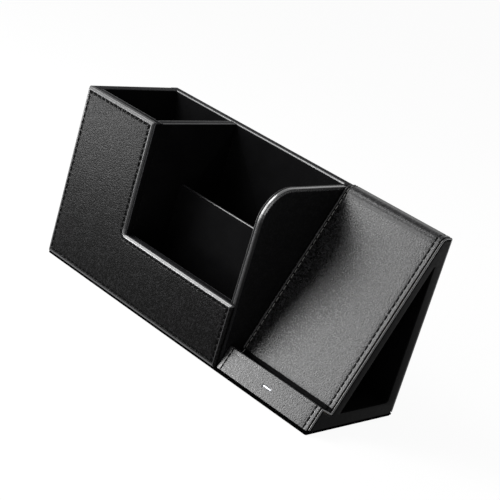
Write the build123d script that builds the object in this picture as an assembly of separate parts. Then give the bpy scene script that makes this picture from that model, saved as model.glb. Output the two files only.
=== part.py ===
from build123d import *
import math
import os

os.makedirs("parts", exist_ok=True)

# Desk organiser with a sloping charging stand, in millimetres.
# X runs left to right, Y front to back and Z up. The shapes are drawn from the
# front left bottom corner, and each is moved to the middle of the base when it is written.

# Overall sizes
organiser_width = 159.6
stand_width = 75.0
unit_gap = 0.4
overall_depth = 76.0
organiser_height = 113.0
stand_height = 113.8

# Sheet thicknesses
leather = 0.9
lining = 0.8
base_pad_thickness = 1.0
base_pad_inset = 0.5
edge_radius = 0.6

# Organiser boards
wall_board = 4.8
divider_board_thickness = 3.5
right_board_thickness = 2.0
front_board_thickness = 2.6
low_divider_board_thickness = 1.9
floor_board_thickness = 3.0

# Organiser layout
pen_cup_width = 52.1
low_front_height = 41.0
low_divider_height = 73.3
low_divider_front = 34.8
right_wall_corner_radius = 20.5
right_wall_setback = 2.5
right_wall_edge_radius = 1.2

# Stitched front panel
front_foam_thickness = 2.0
front_panel_edge_gap = 1.3
front_rim_radius = 0.8
front_notch_radius = 1.5
step_strip_setback = 0.5
step_strip_gap = 0.3
step_strip_radius = 1.2

# Stand profile
ridge_from_back = 8.3
ledge_depth = 10.6
ledge_corner_height = 11.0
lip_foot_setback = 1.67
lip_top_radius = 1.8
ledge_corner_radius = 0.5
ridge_radius = 5.0
back_top_radius = 1.5
slope_board_thickness = 5.5
stand_back_board_thickness = 6.5
base_plate_thickness = 1.1
base_plate_setback = 0.3
base_plate_corner_radius = 1.0
base_board_thickness = 6.9
window_corner_radius = 2.2
window_tip_radius = 0.4

# Right side of the stand
piping_diameter = 1.4
piping_groove = 0.3

# Charger
housing_width = 60.0
housing_length = 64.0
housing_wall = 1.2
housing_floor = 0.8
housing_inner_height = 2.3
housing_from_ridge = 19.4
housing_fit = 1.1
lid_thickness = 0.8
coil_inner_diameter = 20.0
coil_thickness = 1.4
coil_margin = 2.0
coil_gap = 1.5
circuit_board_length = 11.0
circuit_board_thickness = 1.0
component_sizes = [(7.0, 6.0, 1.3), (5.0, 5.0, 1.0), (3.2, 1.6, 1.2), (3.2, 1.6, 1.2)]
component_gap = 1.5

# Charging socket
socket_width = 8.94
socket_height = 3.16
socket_wall = 0.3
socket_stand_out = 1.4
socket_clearance = 0.25
socket_tongue_width = 6.7
socket_tongue_thickness = 0.7
socket_tongue_recess = 1.0

# Charging light on the lip
light_width = 6.2
light_height = 1.2
light_from_foot = 6.8
light_recess = 0.3
light_guide_length = 2.6
light_board_width = 9.0
light_board_height = 5.0
light_board_thickness = 1.0
light_clearance = 0.1
lead_diameter = 1.6
lead_clearance = 0.3
lead_bend_radius = 3.0
lead_above_light = 1.6

# Screws
joining_screw_length = 16.0
joining_screw_radius = 1.5
joining_screw_head_radius = 2.9
joining_screw_clearance = 0.2
joining_screw_from_ledge = 14.0
joining_screw_from_ridge = 9.4
housing_screw_radius = 0.9
housing_screw_head_radius = 1.7
housing_screw_head_height = 1.1
housing_screw_tip_gap = 0.3
housing_screw_inset = 3.2

# Sizes that follow
overall_width = organiser_width + unit_gap + stand_width
pad_top = base_pad_thickness
wall_top = organiser_height - leather
front_panel_thickness = leather + front_foam_thickness
front_board_back = front_panel_thickness + front_board_thickness
left_board_right = leather + wall_board
back_face = overall_depth - leather
back_board_front = back_face - wall_board
divider_left = left_board_right + lining + pen_cup_width + lining
divider_right = divider_left + divider_board_thickness
right_board_right = organiser_width - leather
right_board_left = right_board_right - right_board_thickness
floor_top = pad_top + floor_board_thickness
low_front_top = low_front_height - leather
low_divider_back = low_divider_front + low_divider_board_thickness + 2 * lining
front_panel_tall_right = divider_right + lining - front_panel_edge_gap

stand_left = organiser_width + unit_gap
side_panel_thickness = piping_diameter
stand_boards_left = stand_left + side_panel_thickness
stand_boards_right = overall_width - side_panel_thickness
wrap_right = overall_width - piping_diameter - piping_groove
wrap_middle = (stand_left + wrap_right) / 2
plate_top = pad_top + base_plate_thickness
base_board_top = plate_top + base_board_thickness
slope_rear_depth = leather + slope_board_thickness
tunnel_slope_depth = slope_rear_depth + lining
stand_back_board_front = back_face - stand_back_board_thickness
tunnel_back = stand_back_board_front - lining
tunnel_floor = base_board_top + lining

housing_depth = lid_thickness + housing_inner_height + housing_floor
lid_rear_depth = leather + lid_thickness
housing_floor_depth = lid_rear_depth + housing_inner_height
housing_screw_length = slope_rear_depth - housing_screw_tip_gap - housing_floor_depth
pocket_depth = leather + housing_depth

# The ferrite sheet and the circuit board fit between the screws, and the coil on the sheet
ferrite_width = housing_width - 2 * (housing_screw_inset + housing_screw_head_radius + housing_fit)
ferrite_length = housing_length - 2 * housing_wall - circuit_board_length - coil_gap - housing_fit
coil_outer_diameter = min(ferrite_width, ferrite_length) - 2 * coil_margin
circuit_board_width = ferrite_width

# The slope runs down from the ridge and passes one ledge depth behind the lip's foot
foot_to_ridge = (overall_depth - ridge_from_back - lip_foot_setback, stand_height - plate_top)
slope_angle = math.atan2(foot_to_ridge[1], foot_to_ridge[0])
slope_angle += math.asin(ledge_depth / math.hypot(*foot_to_ridge))
slope_rise = math.sin(slope_angle)
slope_run = math.cos(slope_angle)
slope_length = (stand_height - ledge_corner_height) / slope_rise
housing_from_ledge = slope_length - housing_from_ridge - housing_length


on_base = (Align.CENTER, Align.CENTER, Align.MIN)
under_top = (Align.CENTER, Align.CENTER, Align.MAX)


def block(x, y, z):
    """A box between the low and high value of each range."""
    size = Box(x[1] - x[0], y[1] - y[0], z[1] - z[0])
    return Pos((x[0] + x[1]) / 2, (y[0] + y[1]) / 2, (z[0] + z[1]) / 2) * size


def across(points, radii, x_low, x_high):
    """An outline of Y and Z points, rounded at its corners and run from x_low to x_high."""
    outline = FilletPolyline([(x_low, y, z) for y, z in points], radius=radii, close=True)
    return extrude(make_face(outline), amount=x_high - x_low, dir=(1, 0, 0))


def upright(points, radii, y_low, y_high):
    """An outline of X and Z points, rounded at its corners and run from y_low to y_high."""
    outline = FilletPolyline([(x, y_low, z) for x, z in points], radius=radii, close=True)
    return extrude(make_face(outline), amount=y_high - y_low, dir=(0, 1, 0))


# Lines of the stand's outline, each a point and the direction that faces out, in Y and Z
slope_out = (-slope_rise, slope_run)
slope_up = (slope_run, slope_rise)
lip_line = ((lip_foot_setback, plate_top), slope_out)
top_line = ((0.0, stand_height), (0.0, 1.0))
back_line = ((overall_depth, 0.0), (1.0, 0.0))


def moved_in(line, distance):
    """The line moved into the stand."""
    (y, z), (out_y, out_z) = line
    return ((y - out_y * distance, z - out_z * distance), (out_y, out_z))


def level(height):
    """A level line that faces down."""
    return ((0.0, height), (0.0, -1.0))


def meet(first, second):
    """Where two lines cross."""
    (ay, az), (ny, nz) = first
    (by, bz), (my, mz) = second
    a = ay * ny + az * nz
    b = by * my + bz * mz
    det = ny * mz - nz * my
    return ((a * mz - b * nz) / det, (b * ny - a * my) / det)


slope_line = moved_in(lip_line, ledge_depth)
ledge_corner = meet(slope_line, level(ledge_corner_height))
ledge_line = (ledge_corner, slope_up)


def stand_corners(inset, foot):
    """Corners of the stand's outline moved in by inset: front foot, lip, ledge, ridge, back."""
    lip, ledge, slope, top, back = [
        moved_in(line, inset) for line in (lip_line, ledge_line, slope_line, top_line, back_line)
    ]
    return [
        meet(level(foot), lip),
        meet(lip, ledge),
        meet(ledge, slope),
        meet(slope, top),
        meet(top, back),
        meet(back, level(foot)),
    ]


def stand_radii(inset):
    """Corner radii that keep the moved outline at one distance from the outer one."""
    lip, ledge = lip_top_radius - inset, ledge_corner_radius + inset
    return [0, lip, ledge, ridge_radius - inset, back_top_radius - inset, 0]


def stand_prism(inset, foot, x_low, x_high):
    return across(stand_corners(inset, foot), stand_radii(inset), x_low, x_high)


slope_plane = Plane(
    origin=(wrap_middle, ledge_corner[0], ledge_corner[1]),
    x_dir=(1, 0, 0),
    z_dir=(0, slope_out[0], slope_out[1]),
)


def on_slope(shape):
    """Place a shape drawn with X across, Y up the slope and Z out of its face."""
    return slope_plane * shape


def slope_block(x, y, depth):
    """A box on the slope: across, along from the ledge, and between two depths below its face."""
    return on_slope(block(x, y, (-depth[1], -depth[0])))


far = 2 * (overall_depth + stand_height)


def behind_slope(depth):
    """Everything deeper than depth below the slope's face, as a large block."""
    return slope_block((-far, far), (-far, far), (depth, depth + far))


def in_front_of_slope(depth):
    """Everything less deep than depth below the slope's face, as a large block."""
    return slope_block((-far, far), (-far, far), (depth - far, depth))


# Base pad
def make_base_pad():
    low, high = base_pad_inset, overall_width - base_pad_inset
    return block((low, high), (base_pad_inset, overall_depth - base_pad_inset), (0, base_pad_thickness))


# Stitched front panel
def front_panel_points(inset):
    """Corners of the L-shaped panel, moved in by inset."""
    left, right = inset, organiser_width - inset
    tall_right = front_panel_tall_right - inset
    low, top, step = pad_top + inset, organiser_height - inset, low_front_height - inset
    return [(left, low), (right, low), (right, step), (tall_right, step), (tall_right, top), (left, top)]


def make_front_foam():
    radii = [0, 0, 0, front_notch_radius + leather, 0, 0]
    return upright(front_panel_points(leather), radii, leather, front_panel_thickness)


def make_front_leather():
    outer = upright(front_panel_points(0), [0, 0, 0, front_notch_radius, 0, 0], 0, front_panel_thickness)
    front_face = outer.faces().sort_by(Axis.Y)[0]
    rounded = fillet(front_face.edges(), front_rim_radius)
    return rounded - make_front_foam()


# Organiser boards
def make_front_board():
    points = [
        (leather, pad_top),
        (right_board_left, pad_top),
        (right_board_left, low_front_top),
        (divider_right, low_front_top),
        (divider_right, wall_top),
        (leather, wall_top),
    ]
    return upright(points, 0, front_panel_thickness, front_board_back)


def make_left_board():
    return block((leather, left_board_right), (front_board_back, back_board_front), (pad_top, wall_top))


def make_back_board():
    return block((leather, right_board_right), (back_board_front, back_face), (pad_top, wall_top))


def make_floor_board():
    x = (left_board_right, right_board_left)
    return block(x, (front_board_back, back_board_front), (pad_top, floor_top))


def make_divider_board():
    return block((divider_left, divider_right), (front_board_back, back_board_front), (floor_top, wall_top))


def right_wall_points(inset, foot, back):
    front = right_wall_setback + inset
    top = wall_top - inset
    return [(front, foot), (back, foot), (back, top), (front, top)]


def right_wall_prism(inset, foot, back, x_low, x_high):
    """The right wall's outline with its one large rounded corner, one leather lower than the rest."""
    radii = [0, 0, 0, right_wall_corner_radius - inset]
    return across(right_wall_points(inset, foot, back), radii, x_low, x_high)


def front_panel_room():
    """Space that the stitched front panel and the board behind it take from the right wall."""
    panel = block((0, organiser_width), (0, front_panel_thickness), (0, low_front_height))
    board = block((0, right_board_left), (0, front_board_back), (0, low_front_height))
    return panel + board


def joining_screw_places():
    """Y and Z of the screws, along the middle of the slope board."""
    middle = moved_in(slope_line, leather + slope_board_thickness / 2)
    places = (joining_screw_from_ledge, slope_length - joining_screw_from_ridge)
    return [meet(middle, moved_in(ledge_line, -along)) for along in places]


def joining_screw(y, z, extra):
    """One countersunk screw along X, or the hole for it where extra is more than nothing."""
    radius = joining_screw_radius + extra
    head_depth = joining_screw_head_radius - joining_screw_radius
    shank = Cylinder(radius, joining_screw_length, align=on_base)
    head = Cone(joining_screw_head_radius, joining_screw_radius, head_depth, align=on_base)
    return Pos(right_board_left, y, z) * Rot(0, 90, 0) * (shank + head)


def joining_screws(extra):
    return [joining_screw(y, z, extra) for y, z in joining_screw_places()]


def make_right_board():
    wall = right_wall_prism(leather, pad_top, back_board_front, right_board_left, right_board_right)
    return wall - front_panel_room() - joining_screws(joining_screw_clearance)


def make_right_wall_leather():
    """Outer face of the right wall, turned over its front, rounded corner and top."""
    whole = right_wall_prism(0, pad_top, back_face, right_board_left - lining, organiser_width)
    rim = [
        edge
        for edge in whole.faces().sort_by(Axis.X)[-1].edges()
        if edge.center().Y < back_face - edge_radius and edge.center().Z > pad_top + edge_radius
    ]
    whole = fillet(rim, right_wall_edge_radius)
    core = right_wall_prism(leather, 0, overall_depth, right_board_left - lining, right_board_right)
    back = back_board_front - lining
    behind = block((0, right_board_right), (back, overall_depth), (0, organiser_height))
    return whole - core - behind - front_panel_room() - joining_screws(joining_screw_clearance)


# Organiser leather
def make_left_leather():
    face = block((0, leather), (front_panel_thickness, back_face), (pad_top, wall_top))
    top_y = (front_panel_thickness, back_board_front - lining)
    sheet = face + block((0, left_board_right + lining), top_y, (wall_top, organiser_height))
    outer_edge = sheet.edges().filter_by(Axis.Y).sort_by(lambda edge: edge.center().Z - edge.center().X)[-1]
    return fillet(outer_edge, edge_radius)


def make_back_leather():
    face = block((0, organiser_width), (back_face, overall_depth), (pad_top, wall_top))
    top_y = (back_board_front - lining, overall_depth)
    sheet = face + block((0, organiser_width), top_y, (wall_top, organiser_height))
    outer_edge = sheet.edges().filter_by(Axis.X).sort_by(lambda edge: edge.center().Z + edge.center().Y)[-1]
    return fillet(outer_edge, edge_radius)


def make_front_edge_leather():
    """Binding on the front board's top, its step and its low top, and a strip beside the panel."""
    tall_top = block(
        (left_board_right + lining, divider_right + lining),
        (front_panel_thickness, front_board_back + lining),
        (wall_top, organiser_height),
    )
    step = block(
        (divider_right, divider_right + lining),
        (front_panel_thickness, front_board_back),
        (low_front_top, wall_top),
    )
    low_top = block(
        (divider_right + lining, right_board_left - lining),
        (front_panel_thickness, front_board_back + lining),
        (low_front_top, low_front_height),
    )
    strip = block(
        (front_panel_tall_right, divider_right + lining),
        (step_strip_setback, front_panel_thickness),
        (low_front_height, organiser_height),
    )
    front_top = strip.edges().filter_by(Axis.X).sort_by(lambda edge: edge.center().Z - edge.center().Y)[-1]
    strip = fillet(front_top, step_strip_radius)
    radii = [0, 0, 0, front_notch_radius - step_strip_gap, 0, 0]
    panel_room = upright(front_panel_points(-step_strip_gap), radii, 0, front_panel_thickness)
    return tall_top + step + low_top + (strip - panel_room)


def make_divider_leather():
    return block(
        (divider_left - lining, divider_right + lining),
        (front_board_back + lining, back_board_front - lining),
        (wall_top, organiser_height),
    )


# Linings
def narrowed(span):
    return (span[0] + lining, span[1] - lining)


def make_pen_cup_lining():
    x = (left_board_right, divider_left)
    y = (front_board_back, back_board_front)
    outer = block(x, y, (floor_top, wall_top))
    return outer - block(narrowed(x), narrowed(y), (floor_top + lining, organiser_height))


def make_compartment_lining():
    """Floor and four walls, low at the front, with the right wall's rounded corner."""
    x = (divider_right, right_board_left)
    y = (front_board_back, back_board_front)
    outer = block(x, y, (floor_top, wall_top))
    to_right = (x[0] + lining, x[1] + lining)
    inside = block(to_right, narrowed(y), (floor_top + lining, organiser_height))
    above_front = block(to_right, (0, y[0] + lining), (low_front_top, organiser_height))
    right = right_wall_prism(leather, floor_top, y[1], x[1] - lining, x[1])
    return outer - inside - above_front + (right - front_panel_room())


# Low divider between the two compartments
def make_low_divider_board():
    return block(
        (divider_right + lining, right_board_left - lining),
        (low_divider_front + lining, low_divider_back - lining),
        (floor_top + lining, low_divider_height - lining),
    )


def make_low_divider_wrap():
    outer = block(
        (divider_right + lining, right_board_left - lining),
        (low_divider_front, low_divider_back),
        (floor_top + lining, low_divider_height),
    )
    top_edges = outer.faces().sort_by(Axis.Z)[-1].edges().filter_by(Axis.X)
    return fillet(top_edges, edge_radius) - make_low_divider_board()


# Stand boards
def make_stand_base_plate():
    plate = block((stand_left, overall_width), (base_plate_setback, back_face), (pad_top, plate_top))
    front_right = plate.edges().filter_by(Axis.Z).sort_by(lambda edge: edge.center().X - edge.center().Y)[-1]
    return fillet(front_right, base_plate_corner_radius)


def stand_core(foot):
    """Everything inside the stand's leather, between the side panels."""
    return stand_prism(leather, foot, stand_boards_left, stand_boards_right)


def make_stand_back_board():
    board = block(
        (stand_boards_left, stand_boards_right),
        (stand_back_board_front, back_face),
        (plate_top, stand_height),
    )
    return (board & stand_core(plate_top)) - in_front_of_slope(slope_rear_depth)


def make_stand_base_board():
    board = block(
        (stand_boards_left, stand_boards_right),
        (0, stand_back_board_front),
        (plate_top, base_board_top),
    )
    return board - in_front_of_slope(slope_rear_depth)


def both_ways(half):
    return (-half, half)


housing_across = both_ways(housing_width / 2)
housing_along = (housing_from_ledge, housing_from_ledge + housing_length)


def pocket_for_housing():
    return slope_block(housing_across, housing_along, (leather, pocket_depth))


def socket_along():
    """Where the socket sits on the slope, at the middle of the charger's circuit board."""
    return housing_from_ledge + housing_wall + circuit_board_length / 2


def socket_room(first_depth, last_depth):
    x = both_ways(socket_width / 2 + socket_clearance)
    half_height = socket_height / 2 + socket_clearance
    middle = socket_along()
    return slope_block(x, (middle - half_height, middle + half_height), (first_depth, last_depth))


def make_stand_slope_board():
    board = stand_core(plate_top) & behind_slope(leather)
    board = board - behind_slope(slope_rear_depth)
    board = board - pocket_for_housing() - socket_room(leather, tunnel_slope_depth)
    board = board - lead_room() - housing_screws() - joining_screws(0)
    return board


def make_stand_lip_block():
    return (stand_core(plate_top) & in_front_of_slope(leather)) - light_room() - lead_room()


# Stand covers
def make_stand_leather():
    """One wrap over the lip, ledge, slope, top and back."""
    outer = stand_prism(0, plate_top, stand_left, wrap_right)
    return outer - stand_prism(leather, pad_top, stand_left, wrap_right) - light_slot()


def make_piping():
    """A round cord along the right edge of the wrap."""
    inset = piping_diameter / 2
    points = [(overall_width - inset, y, z) for y, z in stand_corners(inset, plate_top)]
    path = FilletPolyline(points, radius=stand_radii(inset)[1:-1])
    start = Plane(origin=path @ 0, z_dir=path % 0)
    cord = sweep(start * Circle(piping_diameter / 2), path=path)
    return cord - block((0, overall_width), (0, overall_depth), (0, plate_top))


def tunnel_prism(inset, x_low, x_high):
    """The triangular tunnel, made larger by inset."""
    slope = moved_in(slope_line, tunnel_slope_depth - inset)
    back = ((tunnel_back + inset, 0.0), (1.0, 0.0))
    foot = level(tunnel_floor - inset)
    corners = [meet(slope, foot), meet(foot, back), meet(back, slope)]
    radii = [radius + inset for radius in (window_tip_radius, window_corner_radius, window_tip_radius)]
    return across(corners, radii, x_low, x_high)


def make_side_panel_right():
    panel = stand_prism(piping_diameter, plate_top, stand_boards_right, overall_width)
    return panel - tunnel_prism(0, stand_boards_right, overall_width)


def make_side_panel_left():
    panel = stand_prism(leather, plate_top, stand_left, stand_boards_left)
    return panel - joining_screws(joining_screw_clearance)


def make_tunnel_lining():
    outer = tunnel_prism(lining, stand_boards_left, stand_boards_right)
    inside = tunnel_prism(0, stand_boards_left, stand_boards_right)
    return outer - inside - socket_room(leather, tunnel_slope_depth + lining)


# Charger in the slope board
def make_charger_housing():
    outer = slope_block(housing_across, housing_along, (lid_rear_depth, pocket_depth))
    along = (housing_along[0] + housing_wall, housing_along[1] - housing_wall)
    inside = slope_block(both_ways(housing_width / 2 - housing_wall), along, (0, housing_floor_depth))
    return outer - inside - socket_room(0, pocket_depth) - lead_room() - housing_screws()


def make_charger_lid():
    return slope_block(housing_across, housing_along, (leather, lid_rear_depth))


def coil_middle():
    """Middle of the coil up the slope, in the room that the circuit board leaves."""
    low = housing_from_ledge + housing_wall + circuit_board_length + coil_gap
    return low + ferrite_length / 2


def make_charging_coil():
    outer = Cylinder(coil_outer_diameter / 2, coil_thickness, align=under_top)
    ring = outer - Cylinder(coil_inner_diameter / 2, coil_thickness, align=under_top)
    return on_slope(Pos(0, coil_middle(), -lid_rear_depth) * ring)


def make_ferrite_sheet():
    along = (coil_middle() - ferrite_length / 2, coil_middle() + ferrite_length / 2)
    depth = (lid_rear_depth + coil_thickness, housing_floor_depth)
    return slope_block(both_ways(ferrite_width / 2), along, depth)


def make_charger_board():
    low = housing_from_ledge + housing_wall
    depth = (lid_rear_depth, lid_rear_depth + circuit_board_thickness)
    return slope_block(both_ways(circuit_board_width / 2), (low, low + circuit_board_length), depth)


def make_board_components():
    """Chips and coils on the board's rear face, outward from the socket on both sides."""
    face = lid_rear_depth + circuit_board_thickness
    middle = socket_along()
    solids = []
    for side in (-1, 1):
        edge = socket_width / 2 + component_gap
        for width, length, height in component_sizes[(1 - side) // 2 :: 2]:
            x = sorted((side * edge, side * (edge + width)))
            solids.append(slope_block(x, (middle - length / 2, middle + length / 2), (face, face + height)))
            edge += width + component_gap
    return solids


def make_charging_socket():
    """Rounded metal shell with a tongue, open towards the tunnel."""
    front = lid_rear_depth + circuit_board_thickness
    mouth = tunnel_slope_depth + socket_stand_out
    length = mouth - front
    corner = socket_height / 2 - socket_wall
    inner_width, inner_height = socket_width - 2 * socket_wall, socket_height - 2 * socket_wall
    outer = extrude(RectangleRounded(socket_width, socket_height, corner), -length)
    bore = extrude(RectangleRounded(inner_width, inner_height, corner - socket_wall), socket_wall - length)
    tongue_length = length - socket_tongue_recess
    tongue = Box(socket_tongue_width, socket_tongue_thickness, tongue_length, align=under_top)
    shell = outer - Pos(0, 0, -socket_wall) * bore
    return on_slope(Pos(0, socket_along(), -front) * (shell + tongue))


def housing_screws():
    """Pan head screws in the housing's corners, into the slope board."""
    low, high = housing_along[0] + housing_screw_inset, housing_along[1] - housing_screw_inset
    head = Cylinder(housing_screw_head_radius, housing_screw_head_height, align=on_base)
    shank = Cylinder(housing_screw_radius, housing_screw_length, align=under_top)
    return [
        on_slope(Pos(x, y, -housing_floor_depth) * (head + shank))
        for x in both_ways(housing_width / 2 - housing_screw_inset)
        for y in (low, high)
    ]


# Charging light behind the lip
def light_along():
    """Height of the light, measured along the slope from the ledge corner; it lies below it."""
    foot = stand_corners(0, plate_top)[0]
    lip_top = ledge_corner[1] + ledge_depth * slope_run
    return light_from_foot - (lip_top - foot[1]) / slope_rise


def on_lip(width, height, deep, thickness):
    """A box in line with the light on the lip, from a depth behind the lip's face."""
    along = (light_along() - height / 2, light_along() + height / 2)
    front = deep - ledge_depth
    return slope_block(both_ways(width / 2), along, (front, front + thickness))


def light_slot():
    return on_lip(light_width, light_height, 0, light_guide_length)


def make_light_guide():
    return on_lip(light_width, light_height, light_recess, light_guide_length - light_recess)


def light_board_block(clearance):
    width, height = light_board_width + 2 * clearance, light_board_height + 2 * clearance
    return on_lip(width, height, light_guide_length, light_board_thickness)


def light_room():
    return light_slot() + light_board_block(light_clearance)


def make_light_board():
    return light_board_block(0)


def lead_along():
    """Height at which the lead runs forward, onto the upper half of the light board."""
    return light_along() + lead_above_light


def lead_run(radius, start):
    """Round lead from the charger's board down the slope board and forward to the light board."""
    depth = lid_rear_depth + housing_inner_height / 2
    foot = lead_along()
    light_rear = light_guide_length + light_board_thickness - ledge_depth
    points = [(0, start, -depth), (0, foot, -depth), (0, foot, -light_rear)]
    path = FilletPolyline(points, radius=lead_bend_radius)
    first = Plane(origin=path @ 0, z_dir=path % 0)
    return on_slope(sweep(first * Circle(radius), path=path))


def make_light_lead():
    return lead_run(lead_diameter / 2, housing_from_ledge + housing_wall)


def lead_room():
    """Channel for the lead, open to the slope board's face above the bend."""
    radius = lead_diameter / 2 + lead_clearance
    depth = lid_rear_depth + housing_inner_height / 2
    start = housing_from_ledge + housing_wall
    slot = slope_block(both_ways(radius), (lead_along() + lead_bend_radius, start), (leather, depth))
    return lead_run(radius, start) + slot


nodes = {
    "base_pad": make_base_pad(),
    "front_leather": make_front_leather(),
    "front_foam": make_front_foam(),
    "front_board": make_front_board(),
    "front_edge_leather": make_front_edge_leather(),
    "left_board": make_left_board(),
    "left_leather": make_left_leather(),
    "back_board": make_back_board(),
    "back_leather": make_back_leather(),
    "divider_board": make_divider_board(),
    "divider_leather": make_divider_leather(),
    "right_board": make_right_board(),
    "right_wall_leather": make_right_wall_leather(),
    "floor_board": make_floor_board(),
    "pen_cup_lining": make_pen_cup_lining(),
    "compartment_lining": make_compartment_lining(),
    "low_divider_board": make_low_divider_board(),
    "low_divider_wrap": make_low_divider_wrap(),
    "joining_screws": joining_screws(0),
    "stand_base_plate": make_stand_base_plate(),
    "stand_base_board": make_stand_base_board(),
    "stand_slope_board": make_stand_slope_board(),
    "stand_back_board": make_stand_back_board(),
    "stand_lip_block": make_stand_lip_block(),
    "stand_leather": make_stand_leather(),
    "stand_piping": make_piping(),
    "stand_side_panel_left": make_side_panel_left(),
    "stand_side_panel_right": make_side_panel_right(),
    "tunnel_lining": make_tunnel_lining(),
    "charger_housing": make_charger_housing(),
    "charger_lid": make_charger_lid(),
    "charging_coil": make_charging_coil(),
    "ferrite_sheet": make_ferrite_sheet(),
    "charger_board": make_charger_board(),
    "board_components": make_board_components(),
    "charging_socket": make_charging_socket(),
    "housing_screws": housing_screws(),
    "light_guide": make_light_guide(),
    "light_board": make_light_board(),
    "light_lead": make_light_lead(),
}

to_base_middle = Pos(-overall_width / 2, -overall_depth / 2, 0)
for name, shape in nodes.items():
    solids = shape if isinstance(shape, list) else shape.solids()
    export_step(to_base_middle * Compound(children=list(solids)), f"parts/{name}.step")
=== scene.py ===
import math
import random

import bpy
import bmesh
from mathutils import Matrix, Vector
from mathutils.geometry import tessellate_polygon


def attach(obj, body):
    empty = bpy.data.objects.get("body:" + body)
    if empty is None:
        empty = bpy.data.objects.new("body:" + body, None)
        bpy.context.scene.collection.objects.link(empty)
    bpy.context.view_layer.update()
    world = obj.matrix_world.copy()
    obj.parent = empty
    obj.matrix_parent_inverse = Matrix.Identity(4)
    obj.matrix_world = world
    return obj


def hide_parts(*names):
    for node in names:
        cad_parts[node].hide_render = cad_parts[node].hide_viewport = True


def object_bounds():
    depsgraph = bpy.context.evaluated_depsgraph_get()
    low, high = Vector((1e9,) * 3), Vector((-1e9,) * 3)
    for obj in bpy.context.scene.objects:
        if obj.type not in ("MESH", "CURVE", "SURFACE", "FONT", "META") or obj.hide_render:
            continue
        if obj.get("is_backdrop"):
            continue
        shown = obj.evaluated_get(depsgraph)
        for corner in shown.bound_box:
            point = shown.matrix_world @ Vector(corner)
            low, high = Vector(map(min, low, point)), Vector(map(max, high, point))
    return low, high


# A leather desk organiser with a charging stand. Shapes are drawn in millimetres from the front
# left bottom corner and written in metres from the middle of the base.
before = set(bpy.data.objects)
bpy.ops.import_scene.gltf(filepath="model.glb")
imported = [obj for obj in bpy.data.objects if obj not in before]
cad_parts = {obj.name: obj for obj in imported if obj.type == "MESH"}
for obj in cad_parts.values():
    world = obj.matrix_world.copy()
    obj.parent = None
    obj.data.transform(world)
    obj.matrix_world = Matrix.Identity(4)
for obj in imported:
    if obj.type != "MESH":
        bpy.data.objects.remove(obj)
cad_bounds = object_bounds()
scene = bpy.context.scene
dice = random.Random(7)

# Sizes and places in millimetres; most are the solids' own
WIDTH, DEPTH, HEIGHT = 235.0, 76.0, 113.0
STAND_TOP = 113.8
ORGANISER = 159.6
STAND = 160.0
PAD_TOP = 1.0
PLATE_TOP = 2.1
LEATHER = 0.9
LINING = 0.8
UNDER_LEATHER = HEIGHT - LEATHER
PANEL_DEPTH = 2.9
LOW_TOP = 41.0
TALL_RIGHT = 62.4
CUP_X = (6.5, 58.6)
BAY_X = (63.7, 155.9)
INSIDE_Y = (6.3, 69.5)
LINING_FOOT, LINING_TOP = 4.0, 112.0
FLOOR_TOP = 4.8
WRAP_RIGHT = 233.5
WALL_TOP = 112.1
WALL_FRONT = 2.5
WALL_RADIUS = 20.5
DIVIDER_TOP = 73.3
STITCH_PITCH = 4.0

# The photograph's lens and place, in its own pixels and in millimetres
PHOTO_SIZE = 500
FOCAL_LENGTH = 1453.88
SENSOR = 36.0
CAMERA_PLACE = (643.497, -587.820, 344.235)


def metres(point):
    return ((point[0] - WIDTH / 2) / 1000, (point[1] - DEPTH / 2) / 1000, point[2] / 1000)


# Outlines and meshes
def unit(a, b):
    length = math.hypot(b[0] - a[0], b[1] - a[1])
    return ((b[0] - a[0]) / length, (b[1] - a[1]) / length)


def crossing(p, d, q, e):
    """Where the line through p along d meets the line through q along e."""
    det = d[0] * e[1] - d[1] * e[0]
    t = ((q[0] - p[0]) * e[1] - (q[1] - p[1]) * e[0]) / det
    return (p[0] + d[0] * t, p[1] + d[1] * t)


SMALLEST_RADIUS = 0.02


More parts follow.
